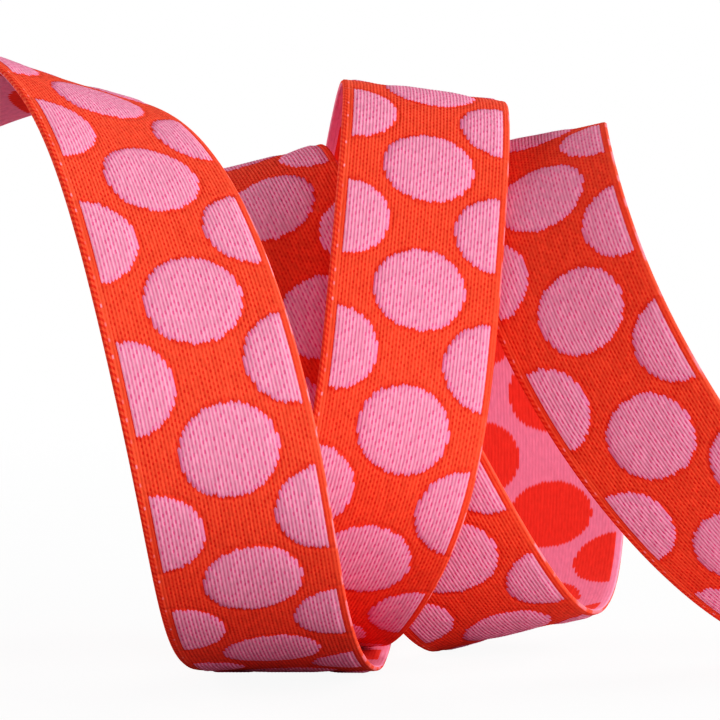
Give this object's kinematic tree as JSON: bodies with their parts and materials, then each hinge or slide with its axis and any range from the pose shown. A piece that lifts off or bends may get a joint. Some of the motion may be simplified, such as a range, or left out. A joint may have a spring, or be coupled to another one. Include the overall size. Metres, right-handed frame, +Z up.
{
  "type": "looped length of webbing",
  "caption": "Loose length of wide dotted webbing that stands in open loops with both tails out; a trimming or strap for sewing.",
  "frame": {"origin": "middle of the part's box on the floor that it stands on", "axes": "+X across from the upright left tail to the right tail that lies down, +Y to the back, +Z up"},
  "size_m": [0.3556, 0.2136, 0.1391],
  "materials": {
    "webbing": "woven, matt"
  },
  "bodies": {
    "root": {"webbing": "webbing"}
  },
  "joints": []
}
